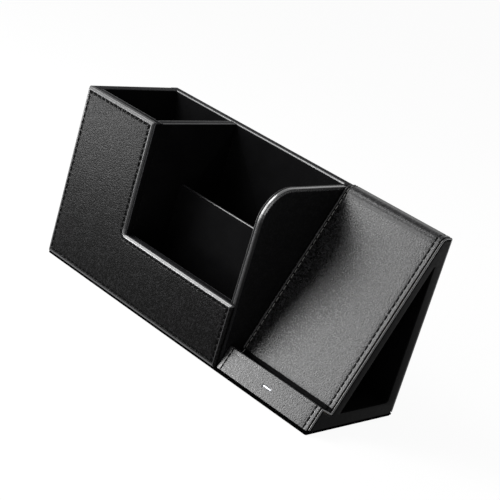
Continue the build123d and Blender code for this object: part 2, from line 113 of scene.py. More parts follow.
class Outline:
    """A polygon with rounded corners, sampled alike for every inset so that rings can be joined.

    Points run anticlockwise. Weights say how much of an inset each edge takes, from point i on.
    A radius of 0 is a plain corner, and growth says how the other radii change with the inset.
    """

    def __init__(self, points, radii, weights=None, growth=-1.0, spacing=2.0, steps=6):
        self.points = points
        self.radii = radii if isinstance(radii, (list, tuple)) else [radii] * len(points)
        self.weights = weights or [1.0] * len(points)
        self.growth = growth
        self.steps = steps
        count = len(points)
        self.counts = [
            max(1, round(math.dist(points[i], points[(i + 1) % count]) / spacing)) for i in range(count)
        ]

    def corner(self, i, inset):
        """Start, middle, radius and angle of the arc at a corner, and where its edges would meet."""
        count = len(self.points)
        before, here, after = self.points[i - 1], self.points[i], self.points[(i + 1) % count]
        d, e = unit(before, here), unit(here, after)
        w0, w1 = self.weights[i - 1] * inset, self.weights[i] * inset
        p = (before[0] - d[1] * w0, before[1] + d[0] * w0)
        q = (here[0] - e[1] * w1, here[1] + e[0] * w1)
        meet = crossing(p, d, q, e)
        turn = d[0] * e[1] - d[1] * e[0]
        radius = self.radii[i]
        if radius > 0:
            change = self.growth * inset if turn > 0 else inset
            radius = max(radius + change, SMALLEST_RADIUS)
        half = math.atan2(abs(turn), d[0] * e[0] + d[1] * e[1]) / 2
        cut = radius * math.tan(half)
        start = (meet[0] - d[0] * cut, meet[1] - d[1] * cut)
        side = 1 if turn > 0 else -1
        middle = (start[0] - d[1] * radius * side, start[1] + d[0] * radius * side)
        return start, middle, radius, 2 * half * side, meet

    def ring(self, inset, closed=True):
        """Points of the inset outline; an open ring leaves out the last edge and the first arc's start."""
        result = []
        count = len(self.points)
        arcs = []
        for i in range(count):
            start, middle, radius, angle, meet = self.corner(i, inset)
            if self.radii[i] == 0:
                arcs.append([meet])
                continue
            first = math.atan2(start[1] - middle[1], start[0] - middle[0])
            arcs.append(
                [
                    (
                        middle[0] + radius * math.cos(first + angle * k / self.steps),
                        middle[1] + radius * math.sin(first + angle * k / self.steps),
                    )
                    for k in range(self.steps + 1)
                ]
            )
        for i in range(count):
            result.extend(arcs[i])
            if i == count - 1 and not closed:
                break
            a, b = arcs[i][-1], arcs[(i + 1) % count][0]
            for k in range(1, self.counts[i]):
                f = k / self.counts[i]
                result.append((a[0] + (b[0] - a[0]) * f, a[1] + (b[1] - a[1]) * f))
        return result


class Mesh:
    """Collects points and faces in millimetres."""

    def __init__(self):
        self.points = []
        self.faces = []
        self.marks = []
        self.mark = 0

    def add(self, points):
        start = len(self.points)
        self.points.extend(points)
        return list(range(start, len(self.points)))

    def face(self, corners):
        self.faces.append(tuple(corners))
        self.marks.append(self.mark)

    def band(self, a, b, closed=True):
        count = len(a)
        for i in range(count if closed else count - 1):
            j = (i + 1) % count
            self.face((a[i], a[j], b[j], b[i]))

    def cap(self, *loops):
        """Fills a loop with one face, or the room between a loop and those inside it."""
        if len(loops) == 1:
            self.face(loops[0])
            return
        order = [i for loop in loops for i in loop]
        for tri in tessellate_polygon([[Vector(self.points[i]) for i in loop] for loop in loops]):
            self.face([order[k] for k in tri])

    def remark(self, mark, below):
        """Gives the faces that end below a height another material."""
        for i, corners in enumerate(self.faces):
            if max(self.points[k][2] for k in corners) < below:
                self.marks[i] = mark

    def tube(self, path, radius, sides):
        """A round tube along points; the ends are closed with a point."""
        path = [Vector(p) for p in path]
        rings = []
        up = None
        for i, p in enumerate(path):
            along = (path[min(i + 1, len(path) - 1)] - path[max(i - 1, 0)]).normalized()
            if up is None:
                up = Vector((1, 0, 0)) if abs(along.x) < 0.9 else Vector((0, 0, 1))
            side = along.cross(up).normalized()
            up = side.cross(along).normalized()
            rings.append(
                self.add(
                    [
                        tuple(p + (side * math.cos(t) + up * math.sin(t)) * radius)
                        for t in (2 * math.pi * k / sides for k in range(sides))
                    ]
                )
            )
        self.bands(rings)
        for ring, tip in ((rings[0], path[0]), (rings[-1], path[-1])):
            centre = self.add([tuple(tip)])[0]
            for i in range(sides):
                self.face((ring[i], ring[(i + 1) % sides], centre))

    def stack(self, outline, place, levels):
        """Adds a ring of an outline for each level of (inset, height)."""
        return [self.add([place(p, h) for p in outline.ring(d)]) for d, h in levels]

    def bands(self, rings):
        for a, b in zip(rings, rings[1:]):
            self.band(a, b)

    def plate(self, outline, place, levels):
        """A closed body from rings of an outline at levels of (inset, height)."""
        rings = self.stack(outline, place, levels)
        self.bands(rings)
        self.cap(rings[0])
        self.cap(rings[-1])


def along_x(point, x):
    return (x, point[0], point[1])


def along_y(point, y):
    return (point[0], y, point[1])


def along_z(point, z):
    return (point[0], point[1], z)


def box_points(left, low, right, high):
    """The corners of a rectangle, anticlockwise from the low left one."""
    return [(left, low), (right, low), (right, high), (left, high)]


def soft_levels(low, high, radius=0.15, steps=2):
    """Levels of a plate whose two rims are rounded."""
    angles = [math.pi / 2 * k / steps for k in range(steps + 1)]
    first = [(radius - radius * math.sin(t), low + radius - radius * math.cos(t)) for t in angles]
    return first + [(d, low + high - h) for d, h in reversed(first)]


SAME_PLACE = 1e-7  # in metres
SHARP_EDGE = math.radians(50)


def piece(name, mesh, materials, replaces=()):
    """Makes the object, lets it ride on the one body, and hides the solids it stands for."""
    data = bpy.data.meshes.new(name)
    data.from_pydata([metres(p) for p in mesh.points], [], mesh.faces)
    for material in materials:
        data.materials.append(material)
    for polygon, mark in zip(data.polygons, mesh.marks):
        polygon.material_index = mark
    work = bmesh.new()
    work.from_mesh(data)
    bmesh.ops.remove_doubles(work, verts=work.verts, dist=SAME_PLACE)
    bmesh.ops.dissolve_degenerate(work, edges=work.edges, dist=SAME_PLACE / 10)
    bmesh.ops.recalc_face_normals(work, faces=work.faces)
    work.to_mesh(data)
    work.free()
    obj = bpy.data.objects.new(name, data)
    scene.collection.objects.link(obj)
    data.shade_smooth()
    data.set_sharp_from_angle(angle=SHARP_EDGE)
    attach(obj, "root")
    if replaces:
        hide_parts(*replaces)
    return obj


# Materials
def new_material(name):
    material = bpy.data.materials.new(name)
    material.use_nodes = True
    tree = material.node_tree
    return material, tree, tree.nodes["Principled BSDF"]


def link(tree, a, b):
    tree.links.new(a, b)


def place_node(tree):
    return tree.nodes.new("ShaderNodeTexCoord").outputs["Object"]


def noise(tree, where, scale, detail=3.0, roughness=0.55):
    node = tree.nodes.new("ShaderNodeTexNoise")
    node.inputs["Scale"].default_value = scale
    node.inputs["Detail"].default_value = detail
    node.inputs["Roughness"].default_value = roughness
    link(tree, where, node.inputs["Vector"])
    return node.outputs["Fac"]


def spread(tree, value, low, high, first=0.25, last=0.75):
    """Runs a value from first to last over a range."""
    node = tree.nodes.new("ShaderNodeMapRange")
    node.inputs["From Min"].default_value = first
    node.inputs["From Max"].default_value = last
    node.inputs["To Min"].default_value = low
    node.inputs["To Max"].default_value = high
    link(tree, value, node.inputs["Value"])
    return node.outputs["Result"]


def tint(tree, value, dark, light):
    """A colour between two, by value."""
    node = tree.nodes.new("ShaderNodeMix")
    node.data_type = "RGBA"
    node.inputs["A"].default_value = (*dark, 1)
    node.inputs["B"].default_value = (*light, 1)
    link(tree, value, node.inputs["Factor"])
    return node.outputs["Result"]


def maths(tree, operation, a, b):
    node = tree.nodes.new("ShaderNodeMath")
    node.operation = operation
    for socket, value in zip(node.inputs, (a, b)):
        if isinstance(value, (int, float)):
            socket.default_value = value
        else:
            link(tree, value, socket)
    return node.outputs["Value"]


def bump(tree, height, depth, before=None):
    node = tree.nodes.new("ShaderNodeBump")
    node.inputs["Strength"].default_value = 1.0
    node.inputs["Distance"].default_value = depth
    link(tree, height, node.inputs["Height"])
    if before is not None:
        link(tree, before, node.inputs["Normal"])
    return node.outputs["Normal"]


def grey(value, blue=None):
    """A grey colour, with its own value for blue where it is a little cool."""
    return (value, value, value if blue is None else blue)


def leather(name, dark, light, rough, specular, grain=1150.0, depth=0.00008, coat=0.0, gloss=420.0):
    """Pebbled leather: rounded cells with creases between them, and slow waves under them.

    Grain and gloss are how finely the pebbles and the roughness vary, per metre; depth is in metres.
    """
    material, tree, shader = new_material(name)
    where = place_node(tree)
    cells = tree.nodes.new("ShaderNodeTexVoronoi")
    cells.feature = "SMOOTH_F1"
    cells.inputs["Scale"].default_value = grain
    cells.inputs["Smoothness"].default_value = 0.35
    warp = tree.nodes.new("ShaderNodeVectorMath")
    warp.operation = "MULTIPLY_ADD"
    wobble = tree.nodes.new("ShaderNodeTexNoise")
    wobble.inputs["Scale"].default_value = grain * 0.4
    wobble.inputs["Detail"].default_value = 2.0
    link(tree, where, wobble.inputs["Vector"])
    link(tree, wobble.outputs["Color"], warp.inputs[0])
    warp.inputs[1].default_value = (0.0005, 0.0005, 0.0005)
    link(tree, where, warp.inputs[2])
    link(tree, warp.outputs["Vector"], cells.inputs["Vector"])
    pebble = maths(tree, "SUBTRACT", 1.0, cells.outputs["Distance"])
    fine = noise(tree, where, grain * 3.2, 2.0)
    slow = noise(tree, where, 95.0, 2.0)
    height = maths(tree, "ADD", pebble, maths(tree, "MULTIPLY", fine, 0.18))
    normal = bump(tree, slow, 0.0001)
    normal = bump(tree, height, depth, normal)
    link(tree, normal, shader.inputs["Normal"])
    shade = maths(tree, "MULTIPLY", pebble, 0.3)
    shade = maths(tree, "ADD", shade, maths(tree, "MULTIPLY", noise(tree, where, 800.0, 2.0), 0.6))
    colour = tint(tree, spread(tree, shade, 0.0, 1.0, 0.42, 0.6), dark, light)
    link(tree, colour, shader.inputs["Base Color"])
    link(tree, spread(tree, noise(tree, where, gloss), rough[0], rough[1]), shader.inputs["Roughness"])
    shader.inputs["Specular IOR Level"].default_value = specular
    if coat:
        shader.inputs["Coat Weight"].default_value = coat
        shader.inputs["Coat Roughness"].default_value = 0.2
    return material


def speckled(name, dark, light, rough, specular, scale, depth=0.00001, metallic=0.0):
    """A plain surface with fine variation in colour, gloss and height."""
    material, tree, shader = new_material(name)
    where = place_node(tree)
    grain = noise(tree, where, scale, 4.0)
    link(tree, tint(tree, spread(tree, grain, 0.0, 1.0), dark, light), shader.inputs["Base Color"])
    patches = noise(tree, where, scale * 0.37)
    link(tree, spread(tree, patches, rough[0], rough[1]), shader.inputs["Roughness"])
    link(tree, bump(tree, noise(tree, where, scale * 2.3), depth), shader.inputs["Normal"])
    shader.inputs["Specular IOR Level"].default_value = specular
    shader.inputs["Metallic"].default_value = metallic
    return material


def suede(name, dark, light):
    """Short-napped lining."""
    material, tree, shader = new_material(name)
    where = place_node(tree)
    nap = noise(tree, where, 2600.0, 2.0)
    blotch = noise(tree, where, 60.0, 4.0, 0.6)
    both = maths(tree, "ADD", maths(tree, "MULTIPLY", nap, 0.55), maths(tree, "MULTIPLY", blotch, 0.45))
    link(tree, tint(tree, spread(tree, both, 0.0, 1.0), dark, light), shader.inputs["Base Color"])
    link(tree, bump(tree, nap, 0.00006), shader.inputs["Normal"])
    shader.inputs["Roughness"].default_value = 0.95
    shader.inputs["Specular IOR Level"].default_value = 0.0
    return material


BLACK = grey(0.0)
panel_leather = leather("panel_leather", BLACK, grey(0.0065, 0.0068), (0.33, 0.39), 0.048, depth=0.00013)

# Rims and edges, from the glossiest to the dullest: glossier, lighter copies of the leather paint highlights
# on the edges, and duller ones paint shade
# The glossiest copy, with a coat: a painted highlight on the right wall's curved bead
wall_highlight_rim = leather(
    "wall_highlight_rim_leather", grey(0.008, 0.009), grey(0.016, 0.017), (0.24, 0.3), 1.0, depth=0.00001, coat=0.8
)
# A lighter, glossier copy of the stand's leather for the lip's strip left of its seam: painted light where
# the front panel shades it
lit_lip_leather = leather("lit_lip_strip_leather", grey(0.002), grey(0.034, 0.036), (0.3, 0.36), 0.85, depth=0.00006)
rim_leather = leather("rim_leather", grey(0.008, 0.009), grey(0.016, 0.017), (0.3, 0.38), 0.7, depth=0.00002)
soft_rim = leather(
    "soft_rim_leather", grey(0.006, 0.0065), grey(0.012, 0.013), (0.32, 0.4), 0.36, depth=0.00004
)
dull_rim = leather("dull_rim_leather", grey(0.006, 0.0065), grey(0.014, 0.015), (0.32, 0.4), 0.2)
# A dull, nearly matte copy of the leather for the tops: painted shade that keeps them dark
shaded_top_leather = leather("shaded_top_leather", grey(0.005, 0.0055), grey(0.01, 0.011), (0.5, 0.6), 0.03)

stand_leather = leather(
    "stand_leather", BLACK, grey(0.034, 0.036), (0.15, 0.43), 0.43, depth=0.0001, gloss=1300.0
)
# Duller copies of the stand's leather near the ridge: a painted dark band below it
shaded_ridge_leathers = [
    leather("ridge_leather_%d" % k, BLACK, grey(0.032, 0.034), (0.3, 0.36), specular)
    for k, specular in enumerate((0.34, 0.2))
]
cover_leather = leather("cover_leather", BLACK, grey(0.03, 0.032), (0.38, 0.44), 0.14)
# Dark matte leather for the side panels and the tunnel, also laid in the stand wrap's fold and creases as
# painted shade
side_leather = leather(
    "side_leather", grey(0.0014, 0.0015), grey(0.0034, 0.0036), (0.42, 0.52), 0.02, 1500.0, 0.00002
)
wall_leather = leather(
    "wall_leather", grey(0.003, 0.0032), grey(0.009, 0.0095), (0.42, 0.52), 0.04, 1500.0, 0.00002
)
lining = suede("suede_lining", grey(0.002, 0.0021), grey(0.0052, 0.0055))
thread = speckled("black_thread", grey(0.001), grey(0.003), (0.6, 0.75), 0.02, 3000.0, 0.00003)
# Black thread painted light brown: a painted highlight on the left seam, in the wall's shade
highlight_thread = speckled(
    "highlight_thread", (0.08, 0.078, 0.074), (0.16, 0.157, 0.15), (0.3, 0.4), 0.8, 3000.0, 0.00003
)
pad = speckled("pad_rubber", grey(0.0005), grey(0.001), (0.75, 0.9), 0.0, 900.0, 0.00004)
board = speckled("fibreboard", (0.36, 0.27, 0.17), (0.52, 0.42, 0.3), (0.75, 0.9), 0.3, 700.0, 0.00005)
painted = speckled("painted_board", grey(0.0005), grey(0.001), (0.6, 0.75), 0.0, 500.0, 0.00003)
plastic = speckled("black_plastic", grey(0.02, 0.021), grey(0.035, 0.036), (0.4, 0.5), 0.5, 1500.0)
copper = speckled("copper_wire", (0.6, 0.27, 0.14), (0.78, 0.4, 0.24), (0.3, 0.4), 0.5, 900.0, 0.00003, 1.0)
ferrite = speckled("ferrite", grey(0.06, 0.065), grey(0.1, 0.105), (0.5, 0.6), 0.5, 600.0, 0.00002)
circuit = speckled("circuit_board", (0.012, 0.12, 0.05), (0.03, 0.19, 0.09), (0.35, 0.45), 0.5, 400.0)
component = speckled("component", grey(0.03, 0.034), grey(0.05, 0.055), (0.45, 0.55), 0.5, 900.0)
shell_steel = speckled(
    "socket_steel", grey(0.56, 0.57), grey(0.68, 0.69), (0.2, 0.3), 0.5, 800.0, metallic=1.0
)
zinc = speckled("zinc_steel", grey(0.42), grey(0.56, 0.55), (0.3, 0.42), 0.5, 600.0, metallic=1.0)
lead = speckled("black_lead", grey(0.03), grey(0.06), (0.5, 0.6), 0.4, 900.0)


def light_material():
    """White light guide that glows a little."""
    material, tree, shader = new_material("light_guide_white")
    where = place_node(tree)
    glow = spread(tree, noise(tree, where, 260.0), 0.45, 0.65)
    link(tree, tint(tree, glow, (0.75, 0.77, 0.8), (0.95, 0.96, 1.0)), shader.inputs["Base Color"])
    shader.inputs["Roughness"].default_value = 0.35
    shader.inputs["Emission Color"].default_value = (0.86, 0.93, 1.0, 1)
    link(tree, glow, shader.inputs["Emission Strength"])
    return material


light_white = light_material()

node_materials = {
    "stand_base_plate": painted,
    "joining_screws": zinc,
    "housing_screws": zinc,
    "charger_housing": plastic,
    "charger_lid": plastic,
    "charging_coil": copper,
    "ferrite_sheet": ferrite,
    "charger_board": circuit,
    "light_board": circuit,
    "board_components": component,
    "charging_socket": shell_steel,
    "light_lead": lead,
}
boards = ("front", "left", "back", "divider", "right", "floor", "low_divider")
boards += ("stand_base", "stand_slope", "stand_back")
node_materials.update({name + "_board": board for name in boards})
node_materials["stand_lip_block"] = board
for name, material in node_materials.items():
    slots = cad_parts[name].data.materials
    slots.clear()
    slots.append(material)


# Camera
def set_camera():
    """The photograph's view: a long lens from the right, above the object's top."""
    right = Vector((0.678444, 0.682121, 0.272810))
    down = Vector((0.425197, -0.061758, -0.902992))
    look = Vector((-0.599101, 0.728627, -0.331935))
    data = bpy.data.cameras.new("camera")
    data.sensor_width = SENSOR
    data.lens = FOCAL_LENGTH / PHOTO_SIZE * SENSOR
    data.clip_start, data.clip_end = 0.05, 20.0
    camera = bpy.data.objects.new("camera", data)
    axes = Matrix((right, -down, -look)).transposed()
    camera.matrix_world = Matrix.Translation(metres(CAMERA_PLACE)) @ axes.to_4x4()
    scene.collection.objects.link(camera)
    scene.camera = camera


set_camera()


# Front panel and its stitches
panel_points = [
    (0, PAD_TOP),
    (ORGANISER, PAD_TOP),
    (ORGANISER, LOW_TOP),
    (TALL_RIGHT, LOW_TOP),
    (TALL_RIGHT, HEIGHT),
    (0, HEIGHT),
]
panel_shape = Outline(panel_points, [0.7, 0.7, 0.8, 1.5, 0.9, 0.9], growth=-0.1, spacing=0.4)


def lengths_along(ring, closed):
    """Distance along a ring of each of its points, and its whole length."""
    total, result = 0.0, [0.0]
    for a, b in zip(ring, ring[1:]):
        total += math.dist(a, b)
        result.append(total)
    if closed:
        total += math.dist(ring[-1], ring[0])
    return result, total


def point_at(ring, lengths, total, s, closed):
    """The point at a distance along a ring."""
    s = s % total if closed else min(max(s, 0.0), total)
    low, high = 0, len(lengths) - 1
    while high - low > 1:
        middle = (low + high) // 2
        if lengths[middle] <= s:
            low = middle
        else:
            high = middle
    if s >= lengths[high]:
        low, a, b = high, ring[high], ring[0]
        span = total - lengths[high]
    else:
        a, b = ring[low], ring[high]
        span = lengths[high] - lengths[low]
    f = (s - lengths[low]) / span if span else 0.0
    return tuple(x + (y - x) * f for x, y in zip(a, b))


STITCH_INSET = 3.1
STITCH_LENGTH = 2.2
DENT_DEPTH = 0.8
DENT_SLOPE = 0.5
seam_ring = panel_shape.ring(STITCH_INSET)
seam_lengths, seam_total = lengths_along(seam_ring, True)
panel_pitch = seam_total / round(seam_total / STITCH_PITCH)


def stitch_dent(s, pitch, across, half_width=0.7, length=STITCH_LENGTH):
    """Depth of the dents that the stitches pull into the leather, one for each pitch along the seam."""
    off = abs((s / pitch) % 1.0 - 0.5) * pitch
    along = min(1.0, max(0.0, (length / 2 + DENT_SLOPE / 2 - off) / DENT_SLOPE))
    side = max(0.0, 1 - (across / half_width) ** 2)
    return DENT_DEPTH * along * side


def make_front_panel():
    """The padded panel: a rounded rim, the seam's groove with its dents, and a crowned face."""
    mesh = Mesh()
    rim_width, rim_depth, rim_rise = 1.9, 1.7, 1.73
    rim = [(0.35, PANEL_DEPTH), (0.05, 2.55), (0.0, 2.2), (0.0, rim_depth)]
    rim += [
        (rim_width - rim_width * math.cos(t), rim_depth - rim_rise * math.sin(t))
        for t in (math.radians(angle) for angle in (12, 24, 36, 48, 60, 72, 82, 90))
    ]
    groove = [(2.3, -0.05), (2.5, -0.02), (2.65, 0.0), (2.8, 0.02), (2.95, 0.03)]
    groove += [(STITCH_INSET, 0.04), (3.25, 0.03), (3.4, 0.02), (3.52, 0.0)]
    face = [(3.65, 0.0), (3.9, -0.05), (4.6, -0.07), (6.5, -0.11)]
    face += [(10.0, -0.16), (14.0, -0.19), (15.0, -0.19)]
    rings = []
    for inset, y in rim + groove + face:
        points = []
        for (x, z), s in zip(panel_shape.ring(inset), seam_lengths):
            points.append((x, y + stitch_dent(s, panel_pitch, inset - STITCH_INSET), z))
        rings.append(mesh.add(points))
    last_rim = len(rim) - 1
    mesh.mark = 1
    mesh.cap(rings[0])
    # The rim takes the glossy rim leather along the low part and the softer one along the tall part, painted
    # highlights of two strengths; its two ends are plain
    for k, (a, b) in enumerate(zip(rings, rings[1:])):
        for i in range(len(a)):
            j = (i + 1) % len(a)
            x, _, z = mesh.points[a[i]]
            at_end = x < 1.0 or (x > ORGANISER - 1.5 and z < LOW_TOP - 1.0)
            mesh.mark = 0
            if k < last_rim and not at_end:
                mesh.mark = 2 if z > LOW_TOP + 3.0 else 1
            mesh.face((a[i], a[j], b[j], b[i]))
    mesh.mark = 0
    mesh.cap(rings[-1])
    materials = [panel_leather, rim_leather, soft_rim]
    panel = piece("front_panel", mesh, materials, ["front_leather", "front_foam"])


STITCH_STEPS = 6
STITCH_SINK = 0.3
STITCH_WOBBLE = 0.02


def stitch_run(mesh, where, total, pitch, lift, radius, length=STITCH_LENGTH, mark=None):
    """Threads between holes; where(s) gives the point and the way out of the surface."""
    for k in range(int(round(total / pitch))):
        middle = (k + 0.5) * pitch
        first, last = middle - length / 2, middle + length / 2
        if mark:
            mesh.mark = mark(middle)
        path = []
        for step in range(STITCH_STEPS + 1):
            f = step / STITCH_STEPS
            point, normal = where(first + (last - first) * f)
            rise = lift - STITCH_SINK * (2 * f - 1) ** 4 + dice.uniform(-STITCH_WOBBLE, STITCH_WOBBLE)
            path.append(tuple(p + n * rise for p, n in zip(point, normal)))
        mesh.tube(path, radius, sides=6)


def make_panel_stitches():
    mesh = Mesh()

    def where(s):
        x, z = point_at(seam_ring, seam_lengths, seam_total, s, True)
        return (x, 0.75, z), (0, -1, 0)

    stitch_run(mesh, where, seam_total, panel_pitch, 0.22, 0.48)
    piece("front_panel_stitches", mesh, [thread])


make_front_panel()
make_panel_stitches()


# Covers and linings of the organiser
# The covers' top faces take the dull top leather, a painted shade on the tops
def bead(mesh, path, radius, mark=1):
    """A rounded leather edge along a path."""
    before = mesh.mark
    mesh.mark = mark
    mesh.tube(path, radius, sides=12)
    mesh.mark = before


def make_front_binding():
    """Leather over the front wall's top, in two heights, and down its upright edge beside the bay."""
    mesh = Mesh()
    # The binding's tops and upright strip take the dull top leather: painted shade
    mesh.mark = 2
    front, back = 3.1, INSIDE_Y[0]
    for low, high, top in ((CUP_X[0], BAY_X[0], HEIGHT), (BAY_X[0], BAY_X[1], LOW_TOP)):
        section = Outline(box_points(front, top - 1.1, back, top), [0.2, 0.3, 0.45, 0.45])
        mesh.plate(section, along_x, [(0.1, low), (0, low + 0.1), (0, high - 0.1), (0.1, high)])
        start = low + 0.5 if top == HEIGHT else low
        bead(mesh, [(x, back - 0.5, top - 0.45) for x in (start, high - 0.3)], 0.5, 0)
    foot, step, top = LOW_TOP - 0.9, LOW_TOP + 0.35, HEIGHT - 0.1
    points = [(0.5, step), (2.95, step), (2.95, foot), (5.5, foot), (5.5, top), (0.5, top)]
    strip = Outline(points, [0.3, 0, 0, 0, 0.3, 1.2])
    rings = mesh.stack(strip, along_x, soft_levels(TALL_RIGHT + 0.35, BAY_X[0], 0.3, 3))
    mesh.cap(rings[0])
    mesh.bands(rings)
    mesh.mark = 1
    mesh.cap(rings[-1])
    piece("front_binding", mesh, [rim_leather, lining, shaded_top_leather], ["front_edge_leather"])


def make_left_cover():
    """Leather down the left wall and over its top; behind the cup it covers the side only."""
    mesh = Mesh()
    under, right, back = UNDER_LEATHER, CUP_X[0], INSIDE_Y[1]
    points = [(0, PAD_TOP), (LEATHER, PAD_TOP), (LEATHER, under)]
    points += [(right, under), (right, HEIGHT), (0, HEIGHT)]
    section = Outline(points, [0.2, 0.2, 0, 0.25, 0.4, 1.1])
    mesh.plate(section, along_y, [(0.05, 2.95), (0, 3.0), (0, back - 0.05), (0.02, back)])
    side = Outline(box_points(0, PAD_TOP, LEATHER, under - 0.1), [0.2, 0.2, 0.1, 0.1])
    mesh.plate(side, along_y, [(0, back - 0.1), (0, DEPTH - LEATHER)])
    mesh.remark(1, UNDER_LEATHER)
    piece("left_cover", mesh, [shaded_top_leather, cover_leather], ["left_leather"])


def make_back_cover():
    """Leather down the back and over its top, with a bead along the inner edge."""
    mesh = Mesh()
    front, inner, under = INSIDE_Y[1], DEPTH - LEATHER, UNDER_LEATHER
    points = [(inner, PAD_TOP), (DEPTH, PAD_TOP), (DEPTH, HEIGHT)]
    points += [(front, HEIGHT), (front, under), (inner, under)]
    section = Outline(points, [0.2, 0.2, 1.1, 0.4, 0.25, 0])
    ends = [(0.3, 0.0), (0.05, 0.25), (0, 0.6)]
    mesh.plate(section, along_x, ends + [(d, ORGANISER - x) for d, x in reversed(ends)])
    mesh.remark(2, UNDER_LEATHER)
    bead(mesh, [(x, front + 0.6, HEIGHT - 0.55) for x in (6.0, ORGANISER - 3.0)], 0.8)
    piece("back_cover", mesh, [shaded_top_leather, rim_leather, cover_leather], ["back_leather"])


def make_divider_cap():
    """Leather over the wall between cup and bay, with a bead along both edges."""
    mesh = Mesh()
    x0, x1 = CUP_X[1], BAY_X[0]
    front, back = INSIDE_Y[0] + 0.1, INSIDE_Y[1] - 0.1
    section = Outline(box_points(x0, UNDER_LEATHER, x1, HEIGHT), [0.2, 0.2, 0.45, 0.45])
    mesh.plate(section, along_y, [(0.05, front - 0.05), (0, front), (0, back), (0.05, back + 0.05)])
    for x, drop, radius in ((x0 + 0.62, 0.55, 0.65), (x1 - 0.48, 0.44, 0.5)):
        bead(mesh, [(x, y, HEIGHT - drop) for y in (front, back)], radius)
    piece("divider_cap", mesh, [shaded_top_leather, rim_leather], ["divider_leather"])


def make_right_wall_cover():
    """Leather over the right wall: an inner edge, a seam and a bead round its front, corner and top."""
    mesh = Mesh()
    left, front, back, foot = BAY_X[1], PANEL_DEPTH + 0.1, DEPTH - LEATHER, LOW_TOP + 0.3
    points = [(front, PAD_TOP), (back, PAD_TOP), (back, WALL_TOP)]
    points += [(WALL_FRONT, WALL_TOP), (WALL_FRONT, foot), (front, foot)]
    radii = [0, 0, 0, WALL_RADIUS, 0.3, 0]
    outline = Outline(points, radii, weights=[0, 0, 1, 1, 0, 1], spacing=4.0, steps=28)
    inner_edge = [(1.6, 0.3), (0.8, 0.0), (0.3, 0.0), (0.05, 0.15), (-0.05, 0.4), (0.05, 0.65)]
    seam = [(0.35, 0.8), (0.7, 0.85), (0.7, 1.05)]
    wall_bead = [
        (0.25 - 0.4 * math.sin(t), 2.35 - 1.25 * math.cos(t))
        for t in (math.radians(angle) for angle in (10, 30, 50, 70, 90, 110, 130, 150))
    ]
    outer_edge = [(0.75, 3.5), (1.2, 3.65), (1.8, 3.7)]
    levels = [(d, left + x) for d, x in inner_edge + seam + wall_bead + outer_edge]
    rings = mesh.stack(outline, along_x, levels)
    mesh.mark = 2
    mesh.cap(rings[0])
    last_soft = len(inner_edge + seam) - 1
    for k, (a, b) in enumerate(zip(rings, rings[1:])):
        mesh.mark = 2 if k < last_soft else 1
        mesh.band(a, b)
    # The bead's material steps from the coated glossy one at the corner down to a dull one on the straight
    # front: a painted highlight on the curve that fades in steps
    painted_highlight_steps = ((1.8, 3), (4.2, 2), (6.4, 4))
    for k, corners in enumerate(mesh.faces):
        above = max(mesh.points[i][2] for i in corners) - (WALL_TOP - WALL_RADIUS)
        if mesh.marks[k] == 1:
            mesh.marks[k] = next((mark for limit, mark in painted_highlight_steps if above < limit), 1)
    mesh.mark = 0
    mesh.cap(rings[-1])
    materials = [wall_leather, wall_highlight_rim, soft_rim, dull_rim, rim_leather]
    piece("right_wall_cover", mesh, materials, ["right_wall_leather"])


def make_cup_liner():
    """Lining of the pen cup: up outside, over its rim and down to a floor with a rounded edge."""
    mesh = Mesh()
    outline = Outline(box_points(CUP_X[0], INSIDE_Y[0], CUP_X[1], INSIDE_Y[1]), 1.0)
    outside, top = -0.75, LINING_TOP
    levels = [(outside, LINING_FOOT + 0.05), (outside, top - 0.2), (-0.55, top), (-0.2, top), (0, top - 0.2)]
    levels += [(0, FLOOR_TOP + 0.8), (0.25, FLOOR_TOP + 0.2), (0.8, FLOOR_TOP)]
    mesh.plate(outline, along_z, levels)
    piece("pen_cup_liner", mesh, [lining], ["pen_cup_lining"])


def make_bay_liner():
    """Lining of the two compartments: left, right, back and low front wall, and a floor."""
    mesh = Mesh()
    (x0, x1), (y0, y1) = BAY_X, INSIDE_Y
    front, back, foot, low_top = y0 - 0.75, y1 + 0.7, LINING_FOOT, LOW_TOP + 0.3
    wall_front, wall_top = WALL_FRONT + 0.95, WALL_TOP - 1.0
    right_wall = [(front, foot), (back, foot), (back, wall_top)]
    right_wall += [(wall_front, wall_top), (wall_front, low_top), (front, low_top)]
    walls = (
        (x0 - LINING, x0, box_points(front, foot, back, LINING_TOP), 0.2),
        (x1, x1 + 0.75, right_wall, [0, 0, 0, WALL_RADIUS - 1.0, 0, 0]),
    )
    for low, high, points, radii in walls:
        mesh.plate(Outline(points, radii, steps=16), along_x, soft_levels(low, high))
    for low, high, top in ((y1, y1 + LINING, LINING_TOP), (y0 - LINING, y0, LOW_TOP - 1.0)):
        mesh.plate(Outline(box_points(x0, foot, x1, top), 0.2), along_y, soft_levels(low, high))
    overlap = 0.1
    floor = box_points(x0 - overlap, y0 - overlap, x1 + overlap, y1 + overlap)
    mesh.plate(Outline(floor, 0.2), along_z, soft_levels(foot, FLOOR_TOP))
    piece("compartment_liner", mesh, [lining], ["compartment_lining"])


def make_low_divider():
    mesh = Mesh()
    front, back, top = 34.8, 38.3, DIVIDER_TOP
    outline = Outline(box_points(front, FLOOR_TOP, back, top), [0.2, 0.2, 1.2, 1.2])
    mesh.plate(outline, along_x, [(0, BAY_X[0]), (0, BAY_X[1])])
    bead(mesh, [(x, front + 1.4, top - 0.7) for x in (BAY_X[0] + 0.5, BAY_X[1] - 0.3)], 1.0)
    piece("low_divider_cover", mesh, [lining, rim_leather], ["low_divider_wrap"])


def make_base_sheet():
    mesh = Mesh()
    edge = 0.5
    outline = Outline(box_points(edge, edge, WIDTH - edge, DEPTH - edge), 1.2)
    mesh.plate(outline, along_z, [(0.3, 0.0), (0.05, 0.12), (0, 0.3), (0, PAD_TOP)])
    piece("base_sheet", mesh, [pad], ["base_pad"])


